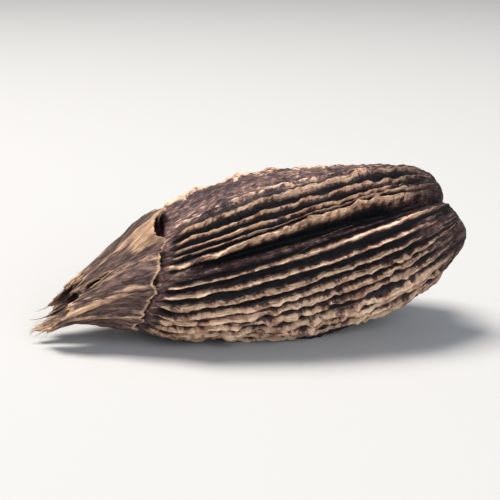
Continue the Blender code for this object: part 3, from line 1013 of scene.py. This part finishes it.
def vary_roughness(tree, shader, texture, least, spread):
    """Roughness that follows a texture, from the least up."""
    rough = math_node(tree, "MULTIPLY_ADD", texture, spread)
    rough.node.inputs[2].default_value = least
    tree.links.new(rough, shader.inputs["Roughness"])


def stretch_along(tree, run, share):
    """The place that fibres follow, stretched along them for a texture that is longer than wide."""
    made = node(tree, "ShaderNodeMapping")
    made.inputs["Scale"].default_value = (1.0, 1.0, share)
    tree.links.new(run, made.inputs["Vector"])
    return made.outputs[0]


def crack_share(tree, fibres, fine, wide, thin):
    """How dark the cracks between fibres are: the wide ones, and the thin ones between them."""
    cracks = math_node(tree, "MULTIPLY", fibres["Thread"], wide)
    return math_node(tree, "MAXIMUM", cracks, math_node(tree, "MULTIPLY", fine["Thread"], thin))


def husk_material(groups):
    """Smoke-dried skin: reddish brown and grainy, pale on worn ribs, with painted shade black down
    the furrows and painted light on the lip-shaded side of the first furrow.
    """
    material, tree, shader = new_material("husk skin", roughness=0.7, specular=0.35)
    run = attribute(tree, "run", "Vector")
    place = node(tree, "ShaderNodeTexCoord").outputs["Object"]
    fibres = use_group(tree, groups["fibres"], {"Run": run}, Across_mm=0.26, Along_mm=3.2)
    fine = use_group(tree, groups["fibres"], {"Run": run}, Across_mm=0.09, Along_mm=1.4)
    stretched = stretch_along(tree, run, share=0.55)
    grain = use_group(tree, groups["grain"], {"Vector": stretched}, Size_mm=0.26)
    coarse = use_group(tree, groups["grain"], {"Vector": place}, Size_mm=0.55)
    stalk_end = attribute(tree, "stalk_end")
    lip = math_node(tree, "MULTIPLY", attribute(tree, "lip"), 0.85)
    tones = use_group(
        tree,
        groups["tones"],
        {
            "Crest": math_node(tree, "MAXIMUM", attribute(tree, "crest"), lip),
            # The painted shade of furrows and valleys
            "Painted shade": attribute(tree, "painted_shade"),
            "Grain": grain["Grain"],
            "Fleck": grain["Fleck"],
            "Streak": fibres["Streak"],
            "Patch": grain["Patch"],
        },
        **HUSK_TONES,
    )
    blotches = math_node(tree, "MULTIPLY", ramp(tree, coarse["Grain"], *BLOTCH_EDGE), stalk_end)
    colour = tones["Colour"]
    for share, tint in (
        (stalk_end, STALK_END_TINT),
        # Painted light on the side of the first furrow that the lip shades
        (attribute(tree, "flank_light"), FLANK_LIGHT_TINT),
        (blotches, BLOTCH_TINT),
        (math_node(tree, "MULTIPLY", grain["Pits"], 0.45), PORE_TINT),
        (crack_share(tree, fibres, fine, wide=0.40, thin=0.30), HUSK_CRACK_TINT),
    ):
        colour = mix_colours(tree, share, colour, tint, "MULTIPLY")
    torn = mix_colours(tree, fibres["Streak"], *SCAR_FIBRES)
    scar = math_node(tree, "MULTIPLY", attribute(tree, "scar"), 0.7)
    tree.links.new(mix_colours(tree, scar, colour, torn), shader.inputs["Base Color"])
    vary_roughness(tree, shader, grain["Grain"], least=0.55, spread=0.30)
    relief = add_weighted(
        tree,
        grain["Grain"],
        (fibres["Streak"], 1.0),
        (fibres["Thread"], -0.4),
        (grain["Pits"], -0.5),
        (coarse["Grain"], stalk_end),
        (fine["Streak"], 0.6),
    )
    add_bump(tree, shader, relief, distance=0.20 * MM, strength=0.9)
    return material


def calyx_material(groups):
    """Dry papery tissue: brown, streaked by fibres, and pale where it is torn or rolled."""
    material, tree, shader = new_material("calyx paper", roughness=0.8, specular=0.3)
    run = attribute(tree, "run", "Vector")
    fibres = use_group(tree, groups["fibres"], {"Run": run}, Across_mm=0.22, Along_mm=4.5)
    fine = use_group(tree, groups["fibres"], {"Run": run}, Across_mm=0.08, Along_mm=2.0)
    stretched = stretch_along(tree, run, share=0.35)
    grain = use_group(tree, groups["grain"], {"Vector": stretched}, Size_mm=0.30)
    crest = math_node(tree, "MULTIPLY", attribute(tree, "crest"), 0.8)
    for torn in ("rim", "mouth", "peeled"):
        crest = math_node(tree, "MAXIMUM", crest, attribute(tree, torn))
    tones = use_group(
        tree,
        groups["tones"],
        {
            "Crest": crest,
            "Grain": grain["Grain"],
            "Fleck": grain["Grain"],
            "Streak": fibres["Streak"],
            "Patch": grain["Patch"],
        },
        **CALYX_TONES,
    )
    cracks = crack_share(tree, fibres, fine, wide=0.50, thin=0.35)
    cracked = mix_colours(tree, cracks, tones["Colour"], CALYX_CRACK_TINT, "MULTIPLY")
    tree.links.new(cracked, shader.inputs["Base Color"])
    vary_roughness(tree, shader, fibres["Streak"], least=0.60, spread=0.35)
    relief = add_weighted(
        tree,
        fibres["Streak"],
        (grain["Grain"], 0.5),
        (fibres["Thread"], -0.5),
        (fine["Streak"], 0.5),
    )
    add_bump(tree, shader, relief, distance=0.12 * MM, strength=0.9)
    return material


def fibre_material(groups):
    """Bare dry fibre: tan, with darker stretches."""
    material, tree, shader = new_material("dry fibre", roughness=0.75, specular=0.3)
    place = node(tree, "ShaderNodeTexCoord").outputs["Object"]
    grain = use_group(tree, groups["grain"], {"Vector": place}, Size_mm=0.6)
    tones = use_group(
        tree,
        groups["tones"],
        {
            "Grain": grain["Grain"],
            "Fleck": grain["Fleck"],
            "Streak": grain["Grain"],
            "Patch": grain["Patch"],
        },
        **FIBRE_TONES,
    )
    tree.links.new(tones["Colour"], shader.inputs["Base Color"])
    vary_roughness(tree, shader, grain["Grain"], least=0.60, spread=0.30)
    add_bump(tree, shader, grain["Grain"], distance=0.02 * MM, strength=0.5)
    return material


def make_floor():
    shape = bmesh.new()
    bmesh.ops.create_grid(shape, x_segments=1, y_segments=1, size=FLOOR_SIZE)
    mesh = bpy.data.meshes.new("floor")
    shape.to_mesh(mesh)
    shape.free()
    floor = bpy.data.objects.new("floor", mesh)
    bpy.context.scene.collection.objects.link(floor)
    material, _, shader = new_material("pale floor", roughness=0.9, specular=0.2)
    shader.inputs["Base Color"].default_value = FLOOR_COLOUR
    mesh.materials.append(material)


def point_at(thing, target):
    thing.rotation_euler = (Vector(target) - thing.location).to_track_quat("-Z", "Y").to_euler()


def make_light(name, place, size, watts, colour):
    data = bpy.data.lights.new(name, "AREA")
    data.shape = "SQUARE"
    data.size = size
    data.energy = watts
    data.color = colour
    light = bpy.data.objects.new(name, data)
    light.location = place
    bpy.context.scene.collection.objects.link(light)
    point_at(light, LIGHTS_AIM)


def make_studio():
    world = bpy.data.worlds.new("studio")
    world.use_nodes = True
    set_inputs(world.node_tree.nodes["Background"], Color=SKY_COLOUR, Strength=SKY_STRENGTH)
    bpy.context.scene.world = world
    for light in LIGHTS:
        make_light(*light)


def make_camera():
    low, high = CAD_BOX
    middle = (Vector(low) + Vector(high)) / 2
    data = bpy.data.cameras.new("camera")
    data.lens = LENS
    data.sensor_width = SENSOR
    data.clip_start = CLIP_START
    data.clip_end = CLIP_END
    camera = bpy.data.objects.new("camera", data)
    level = math.cos(CAMERA_ELEVATION)
    across, away = math.sin(CAMERA_AZIMUTH) * level, -math.cos(CAMERA_AZIMUTH) * level
    back = Vector((across, away, math.sin(CAMERA_ELEVATION)))
    camera.location = middle + back * (VIEW_WIDTH * LENS / SENSOR)
    bpy.context.scene.collection.objects.link(camera)
    point_at(camera, middle)
    bpy.context.scene.camera = camera


groups = {"fibres": fibre_group(), "grain": grain_group(), "tones": tone_group()}
make_husk(husk_material(groups))
make_calyx(calyx_material(groups))
fibre = fibre_material(groups)
draw = random.Random(THREAD_SEED)
make_threads("husk_fibres", [*husk_threads(draw), *scar_threads(draw)], fibre)
make_threads("calyx_fibres", mouth_threads(draw), fibre)
make_floor()
make_studio()
make_camera()
bpy.context.scene.view_settings.view_transform = "Standard"
